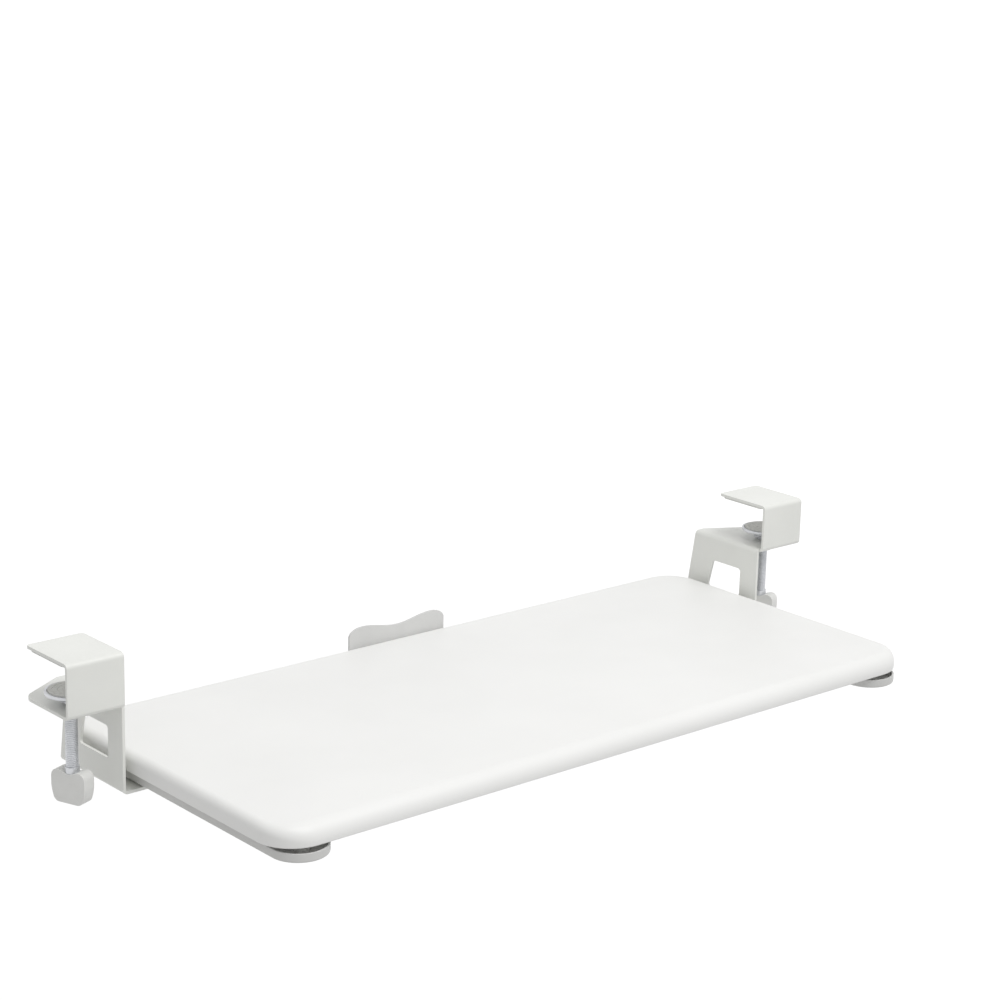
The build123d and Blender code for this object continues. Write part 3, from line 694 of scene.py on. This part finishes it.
# The wing knobs. Each is moulded in light grey plastic round the thin end of the screw: two round
# lobes with a dip between them, softly rounded all over, on a narrower foot.
wing_half, wing_height, wing_thickness = 0.016, 0.0295, 0.0124
lobe_round, dip_depth, dip_round, foot_half, foot_round = 0.0098, 0.0066, 0.0048, 0.0122, 0.0042
flank_half, flank_drop, flank_round = 0.0160, 0.0208, 0.0060
wing_edge_round, wing_turn = 0.0020, radians(-69.0)
plastic_light, plastic_shade = (0.85, 0.85, 0.83, 1), (0.80, 0.80, 0.78, 1)

plastic = Finish("grey_moulded_plastic")
plastic.colour(plastic.noise(scale=60, detail=4), plastic_light, plastic_shade)
plastic.roughness(plastic.noise(scale=500, detail=3), low=0.42, high=0.55)
plastic.relief(plastic.noise(scale=1500, detail=2), depth=0.00005, strength=0.45)
plastic.relief(plastic.noise(scale=90, detail=2), depth=0.0001, strength=0.3)

for name, sign in sides.items():
    knob_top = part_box(f"{name}_knob")[1].z
    knob_shape = bmesh.new()
    outline = [
        (-wing_half, 0, 0), (0, 0, -dip_depth), (wing_half, 0, 0), (flank_half, 0, -flank_drop),
        (foot_half, 0, -wing_height), (-foot_half, 0, -wing_height), (-flank_half, 0, -flank_drop),
    ]
    add_panel(knob_shape, outline)
    round_corners(knob_shape, (outline[0], outline[2]), lobe_round, segments=14)
    round_corners(knob_shape, (outline[1],), dip_round, segments=10)
    round_corners(knob_shape, (outline[3], outline[6]), flank_round, segments=8)
    round_corners(knob_shape, (outline[4], outline[5]), foot_round, segments=8)
    pulled = bmesh.ops.extrude_face_region(knob_shape, geom=knob_shape.faces[:])
    back = [v for v in pulled["geom"] if isinstance(v, bmesh.types.BMVert)]
    bmesh.ops.translate(knob_shape, vec=(0, wing_thickness, 0), verts=back)
    bmesh.ops.translate(knob_shape, vec=(0, -wing_thickness / 2, 0), verts=knob_shape.verts)
    bmesh.ops.recalc_face_normals(knob_shape, faces=knob_shape.faces)
    rims = [e for e in knob_shape.edges if abs(e.verts[0].co.y - e.verts[1].co.y) < same_place]
    bevel_edges(knob_shape, rims, wing_edge_round, segments=6)
    knob_place = Matrix.Translation((sign * screw_x, screw_y, knob_top))
    knob_place = knob_place @ Matrix.Rotation(wing_turn, 4, "Z")
    bmesh.ops.transform(knob_shape, matrix=knob_place, verts=knob_shape.verts)
    knob = make_piece(f"{name}_wing_knob", knob_shape, plastic.material)
    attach(knob, f"{name}_screw")
    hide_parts(f"{name}_knob")

# The ferrules. A short turned steel ring stands in the dip of each knob, round the screw.
ferrule_radius, ferrule_play, ferrule_mouth, ferrule_edge_round = 0.0058, 0.0001, 0.0006, 0.0003

for name, sign in sides.items():
    ferrule_shape = turned([
        (root_radius, ferrule_low), (ferrule_radius, ferrule_low), (ferrule_radius, ferrule_high),
        (crest_radius + ferrule_play, ferrule_high), (root_radius, ferrule_high - ferrule_mouth),
    ], Vector((sign * screw_x, screw_y, 0)), closed=True)
    soften(ferrule_shape, ferrule_edge_round)
    ferrule = make_piece(f"{name}_ferrule", ferrule_shape, zinc.material)
    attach(ferrule, f"{name}_screw")
    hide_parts(f"{name}_knob_ferrule")

# The slide rails. Each is pressed from 1.5 mm steel into a shallow pan with round ends, screwed under
# the board through three dimples. Its long slot runs on the bolts of the bracket.
rail_sheet, rail_half_width, rail_depth = 0.0015, 0.0235, 0.0073
rail_bend_middle, rail_edge_round = 0.00085, 0.0002
slot_half_width, slot_front, slot_rear = 0.0044, -0.151, 0.075
dimple_radius, dimple_bend, dimple_hole = 0.006, 0.0009, 0.0021
dimple_places = ((0.310, -0.176), (0.295, -0.066), (0.310, 0.0935))
grey_light, grey_shade = (0.68, 0.68, 0.665, 1), (0.64, 0.64, 0.625, 1)

grey_coat = Finish("grey_powder_coat")
grey_coat.colour(grey_coat.noise(scale=25, detail=4), grey_light, grey_shade)
grey_coat.roughness(grey_coat.noise(scale=240, detail=3), low=0.36, high=0.5)
grey_coat.relief(grey_coat.noise(scale=700, detail=2), depth=0.00005, strength=0.5)
grey_coat.relief(grey_coat.noise(scale=2400, detail=1), depth=0.00002, strength=0.4)


def long_round(shape, half_width, front, rear, middle_x, height, segments=20):
    """A level panel with straight sides and half round ends."""
    left, right = middle_x - half_width, middle_x + half_width
    front_end, rear_end = front - half_width, rear + half_width
    corners = [
        (left, front_end, height), (right, front_end, height),
        (right, rear_end, height), (left, rear_end, height),
    ]
    others = set(shape.faces)
    add_panel(shape, corners)
    round_corners(shape, corners, half_width, segments)
    bmesh.ops.remove_doubles(shape, verts=shape.verts, dist=same_place)
    return next(f for f in shape.faces if f not in others)


for name, sign in sides.items():
    rail_low, rail_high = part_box("right_slide_rail")
    rail_level = rail_low.z + rail_sheet / 2
    half = rail_half_width - rail_sheet / 2
    ends = (rail_low.y + rail_half_width, rail_high.y - rail_half_width)
    rail_shape = bmesh.new()
    pan = long_round(rail_shape, half, *ends, rail_x, rail_level)
    raised = bmesh.ops.extrude_edge_only(rail_shape, edges=list(pan.edges))
    lip = [v for v in raised["geom"] if isinstance(v, bmesh.types.BMVert)]
    bmesh.ops.translate(rail_shape, vec=(0, 0, rail_depth - rail_sheet / 2), verts=lip)
    bevel_edges(rail_shape, list(pan.edges), rail_bend_middle, segments=4)
    rail_shape.normal_update()
    pan = panel_at(rail_shape, Vector((0, 0, rail_level)), Vector((0, 0, 1)))
    slot = long_round(
        rail_shape, slot_half_width, slot_front, slot_rear, rail_x, rail_level, segments=12,
    )
    slot_ring = list(slot.edges)
    bmesh.ops.delete(rail_shape, geom=[slot], context="FACES_ONLY")
    wall_radius = dimple_radius - rail_sheet / 2
    rings = [
        ring_of(rail_shape, wall_radius, Vector((x, y, rail_level)), sides=40) for x, y in dimple_places
    ]
    open_panel(rail_shape, pan, [slot_ring] + rings)
    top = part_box("tray_board")[0].z - rail_sheet / 2
    bends = []
    for ring, (x, y) in zip(rings, dimple_places):
        raised = bmesh.ops.extrude_edge_only(rail_shape, edges=ring)
        roof_ring = [e for e in raised["geom"] if isinstance(e, bmesh.types.BMEdge)
                     and all(v in raised["geom"] for v in e.verts)]
        roof_verts = [v for v in raised["geom"] if isinstance(v, bmesh.types.BMVert)]
        bmesh.ops.translate(rail_shape, vec=(0, 0, top - rail_level), verts=roof_verts)
        hole = ring_of(rail_shape, dimple_hole, Vector((x, y, top)), sides=40)
        bmesh.ops.bridge_loops(rail_shape, edges=roof_ring + hole)
        bends += ring + roof_ring
    bevel_edges(rail_shape, bends, dimple_bend, segments=4)
    to_left(rail_shape, sign)
    rail = make_piece(
        f"{name}_rail", rail_shape, grey_coat.material, sharp_from=60,
        thickness=rail_sheet, edge_round=rail_edge_round,
    )
    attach(rail, "tray")
    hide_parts(f"{name}_slide_rail")

# The glide strips and washers. Both are white nylon: a strip glued on the bracket's flange, under the
# rail, and a washer under each bolt head, inside it.
strip_corner, strip_edge_round, bolt_room = 0.003, 0.0003, 0.0043
washer_radius, washer_edge_round = 0.008, 0.0003
nylon_light, nylon_shade = (0.82, 0.82, 0.79, 1), (0.77, 0.77, 0.74, 1)

nylon = Finish("white_nylon")
nylon.colour(nylon.noise(scale=150, detail=3), nylon_light, nylon_shade)
nylon.roughness(nylon.noise(scale=400, detail=3), low=0.3, high=0.45)
nylon.relief(nylon.noise(scale=1600, detail=2), depth=0.00003, strength=0.4)
nylon.shader.inputs["Subsurface Weight"].default_value = 0.1
nylon.shader.inputs["Subsurface Scale"].default_value = 0.002

for name, sign in sides.items():
    strip_low, strip_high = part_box("right_glide_strip")
    strip_shape = bmesh.new()
    corners = [
        (strip_low.x, strip_low.y, strip_low.z), (strip_high.x, strip_low.y, strip_low.z),
        (strip_high.x, strip_high.y, strip_low.z), (strip_low.x, strip_high.y, strip_low.z),
    ]
    add_panel(strip_shape, corners)
    round_corners(strip_shape, corners, strip_corner)
    strip_shape.normal_update()
    strip_face = panel_at(strip_shape, Vector(corners[0]), Vector((0, 0, 1)))
    holes = [ring_of(strip_shape, bolt_room, Vector((rail_x, y, strip_low.z))) for y in bolt_ys]
    open_panel(strip_shape, strip_face, holes)
    pulled = bmesh.ops.extrude_face_region(strip_shape, geom=strip_shape.faces[:])
    upper = [v for v in pulled["geom"] if isinstance(v, bmesh.types.BMVert)]
    bmesh.ops.translate(strip_shape, vec=(0, 0, strip_high.z - strip_low.z), verts=upper)
    to_left(strip_shape, sign)
    strip = make_piece(f"{name}_strip", strip_shape, nylon.material, edge_round=strip_edge_round)
    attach(strip, "brackets")
    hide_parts(f"{name}_glide_strip")

    washer_low, washer_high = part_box("right_glide_washers")
    washer_shape = bmesh.new()
    for y in bolt_ys:
        one = turned([
            (bolt_room, washer_low.z), (washer_radius, washer_low.z), (washer_radius, washer_high.z),
            (bolt_room, washer_high.z),
        ], Vector((sign * rail_x, y, 0)), closed=True)
        soften(one, washer_edge_round)
        add_copy(washer_shape, one)
    washers = make_piece(f"{name}_washers", washer_shape, nylon.material)
    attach(washers, "brackets")
    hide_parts(f"{name}_glide_washers")

# The shoulder bolts and lock nuts. Two zinc plated bolts with hexagon sockets stand on each flange,
# their shoulders in the rail's slot, held from below by nuts with a nylon ring in a round collar.
shoulder_radius, bolt_head_radius, bolt_head_height = 0.004, 0.0065, 0.0026
socket_width, socket_depth, bolt_edge_round = 0.004, 0.0018, 0.0002
thread_radius, thread_root, bolt_pitch = 0.003, 0.00245, 0.001
lock_nut_width, lock_nut_height, collar_radius = 0.010, 0.0045, 0.0043
insert_radius, insert_drop, collar_edge_round = 0.0036, 0.0003, 0.0003
head_chamfer, socket_rim = bolt_head_height / 4, socket_width * 0.7

for name, sign in sides.items():
    bolt_low, bolt_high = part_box("right_shoulder_bolts")
    nuts_low, nuts_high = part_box("right_lock_nuts")
    flange_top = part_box("right_glide_strip")[0].z
    bolt_shape, lock_shape, insert_shape = bmesh.new(), bmesh.new(), bmesh.new()
    for y in bolt_ys:
        middle = Vector((sign * rail_x, y, 0))
        shoulder_top = bolt_high.z - bolt_head_height
        body = turned([
            (0, nuts_low.z), (thread_root, nuts_low.z), (thread_radius, nuts_low.z + bolt_pitch),
            (thread_radius, flange_top), (shoulder_radius, flange_top), (shoulder_radius, shoulder_top),
            (bolt_head_radius, shoulder_top), (bolt_head_radius, bolt_high.z - head_chamfer),
            (bolt_head_radius - head_chamfer, bolt_high.z), (socket_rim, bolt_high.z),
        ], middle)
        rim = [e for e in body.edges if e.is_boundary]
        top = Vector((middle.x, y, bolt_high.z))
        bottom = top - Vector((0, 0, socket_depth))
        mouth = hexagon_ring(body, socket_width, top)
        bmesh.ops.bridge_loops(body, edges=rim + mouth)
        floor_ring = hexagon_ring(body, socket_width, bottom)
        bmesh.ops.bridge_loops(body, edges=mouth + floor_ring)
        bmesh.ops.edgeloop_fill(body, edges=floor_ring)
        bmesh.ops.recalc_face_normals(body, faces=body.faces)
        soften(body, bolt_edge_round)
        add_copy(bolt_shape, body)
        add_copy(bolt_shape, threaded(
            thread_radius, thread_root, bolt_pitch, bolt_low.z, nuts_low.z + bolt_pitch, middle,
        ))
        nut_floor = nuts_high.z - lock_nut_height
        hexagon = hexagon_nut(lock_nut_width, thread_radius, nut_floor, nuts_high.z, middle)
        add_copy(lock_shape, hexagon)
        collar = turned([
            (insert_radius, nut_floor), (insert_radius, nuts_low.z), (collar_radius, nuts_low.z),
            (collar_radius, nut_floor),
        ], middle, closed=True)
        soften(collar, collar_edge_round)
        add_copy(lock_shape, collar)
        insert = turned([
            (thread_root, nut_floor), (thread_root, nuts_low.z + insert_drop),
            (insert_radius, nuts_low.z + insert_drop), (insert_radius, nut_floor),
        ], middle, closed=True)
        add_copy(insert_shape, insert)
    bolts = make_piece(f"{name}_bolts", bolt_shape, zinc.material, sharp_from=35)
    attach(bolts, "brackets")
    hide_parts(f"{name}_shoulder_bolts")
    locks = make_piece(f"{name}_nuts", lock_shape, zinc.material, sharp_from=35)
    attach(locks, "brackets")
    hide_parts(f"{name}_lock_nuts")
    inserts = make_piece(f"{name}_nut_inserts", insert_shape, nylon.material)
    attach(inserts, "brackets")

# The wood screws. Zinc plated pan head screws with a cross recess hold the rails and the back stop to
# the underside of the board. Only their heads can be seen.
pan_radius, pan_height, pan_steps, shank_radius = 0.004, 0.0022, 48, 0.002
pan_dome = ((1, 1 / 3), (0.92, 0.62), (0.8, 0.92), (0.64, 1))
recess_half_length, recess_half_width, recess_depth, recess_taper = 0.0022, 0.0005, 0.0012, 0.72
stop_screw_places = ((-0.035, 0.0965), (0.035, 0.0965))


def wood_screw(place, tip):
    """A pan head screw driven upwards, its head's flat side at a place.

    The dome of the head is given in shares of its radius and height.
    """
    low = place.z - pan_height
    profile = [
        (0, tip), (shank_radius / 3, tip), (shank_radius, tip - shank_radius),
        (shank_radius, place.z), (pan_radius, place.z),
    ]
    profile += [(pan_radius * out, place.z - pan_height * down) for out, down in pan_dome]
    shape = turned(profile, place, steps=pan_steps)
    rim = [e for e in shape.edges if e.is_boundary]
    long, thin = recess_half_length, recess_half_width
    cross = [
        (long, thin), (thin, thin), (thin, long), (-thin, long), (-thin, thin), (-long, thin),
        (-long, -thin), (-thin, -thin), (-thin, -long), (thin, -long), (thin, -thin), (long, -thin),
    ]
    mouth = shape.faces.new([shape.verts.new((place.x + x, place.y + y, low)) for x, y in cross])
    mouth_ring = list(mouth.edges)
    sunk = bmesh.ops.extrude_face_region(shape, geom=[mouth])
    floor_verts = [v for v in sunk["geom"] if isinstance(v, bmesh.types.BMVert)]
    bmesh.ops.translate(shape, vec=(0, 0, recess_depth), verts=floor_verts)
    middle = Matrix.Translation((-place.x, -place.y, 0))
    bmesh.ops.scale(shape, vec=(recess_taper, recess_taper, 1), space=middle, verts=floor_verts)
    if mouth.is_valid:
        bmesh.ops.delete(shape, geom=[mouth], context="FACES_ONLY")
    bmesh.ops.triangle_fill(shape, use_beauty=True, use_dissolve=False, edges=rim + mouth_ring)
    bmesh.ops.recalc_face_normals(shape, faces=shape.faces)
    return shape


screw_sets = [("back_stop_fixings", "back_stop_screws", stop_screw_places)]
for name, sign in sides.items():
    places = [(sign * x, y) for x, y in dimple_places]
    screw_sets.append((f"{name}_rail_fixings", f"{name}_rail_screws", places))
for piece_name, node, places in screw_sets:
    set_low, set_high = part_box(node)
    set_shape = bmesh.new()
    for x, y in places:
        add_copy(set_shape, wood_screw(Vector((x, y, set_low.z + pan_height)), set_high.z))
    fixings = make_piece(piece_name, set_shape, zinc.material, sharp_from=35)
    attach(fixings, "tray")
    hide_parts(node)

# The back stop. A light grey plate is bent at the bottom and screwed under the rear of the board. Its
# wavy top has two humps and keeps things from sliding off the back.
stop_sheet, stop_bend, stop_corner, stop_hole = 0.002, 0.002, 0.006, 0.0021
stop_half, hump_offset, stop_edge_round = 0.053, 0.038, 0.0005
hump_rise, middle_rise, end_rise = 0.0166, 0.0116, 0.0095
shoulder_power, shoulder_fullness = 2.2, 0.62
stop_light, stop_shade = (0.70, 0.70, 0.69, 1), (0.66, 0.66, 0.65, 1)

stop_plastic = Finish("light_satin_plastic")
stop_plastic.colour(stop_plastic.noise(scale=30, detail=4), stop_light, stop_shade)
stop_plastic.roughness(stop_plastic.noise(scale=400, detail=3), low=0.4, high=0.52)
stop_plastic.relief(stop_plastic.noise(scale=1300, detail=2), depth=0.00004, strength=0.4)

stop_low, stop_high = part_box("back_stop")
stop_y = stop_high.y - stop_sheet / 2
stop_floor = stop_low.z + stop_sheet / 2
stop_shape = bmesh.new()
made = bmesh.ops.create_grid(stop_shape, x_segments=64, y_segments=1, size=1)
for vert in made["verts"]:
    x = vert.co.x * stop_half
    height = stop_floor
    if vert.co.y > 0:
        if abs(x) < hump_offset:
            share = 0.5 - 0.5 * cos(radians(180) * abs(x) / hump_offset)
            rise = middle_rise + (hump_rise - middle_rise) * share
        else:
            share = (abs(x) - hump_offset) / (stop_half - hump_offset)
            fall = max(0.0, 1 - share ** shoulder_power) ** shoulder_fullness
            rise = end_rise + (hump_rise - end_rise) * fall
        height = board_high.z + rise
    vert.co = (x, stop_y, height)
bmesh.ops.dissolve_faces(stop_shape, faces=stop_shape.faces, use_verts=False)
bmesh.ops.dissolve_verts(stop_shape, verts=[
    v for v in stop_shape.verts
    if v.co.z < stop_floor + stop_sheet and abs(v.co.x) < stop_half - same_place
])
heel_ends = ((-stop_half, stop_y, stop_floor), (stop_half, stop_y, stop_floor))
heel = edge_between(stop_shape, *heel_ends)
pulled = bmesh.ops.extrude_edge_only(stop_shape, edges=[heel])
foot_verts = [v for v in pulled["geom"] if isinstance(v, bmesh.types.BMVert)]
bmesh.ops.translate(stop_shape, vec=(0, stop_low.y - stop_y, 0), verts=foot_verts)
heel = edge_between(stop_shape, *heel_ends)
round_corners(stop_shape, [v.co.copy() for v in foot_verts], stop_corner)
bevel_edges(stop_shape, [heel], stop_bend, segments=6)
stop_shape.normal_update()
foot = panel_at(stop_shape, Vector((0, 0, stop_floor)), Vector((0, 0, 1)))
open_panel(stop_shape, foot, [
    ring_of(stop_shape, stop_hole, Vector((x, y, stop_floor)), sides=24) for x, y in stop_screw_places
])
stop = make_piece(
    "wavy_stop", stop_shape, stop_plastic.material, sharp_from=60,
    thickness=stop_sheet, edge_round=stop_edge_round, edge_steps=3,
)
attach(stop, "tray")
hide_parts("back_stop")
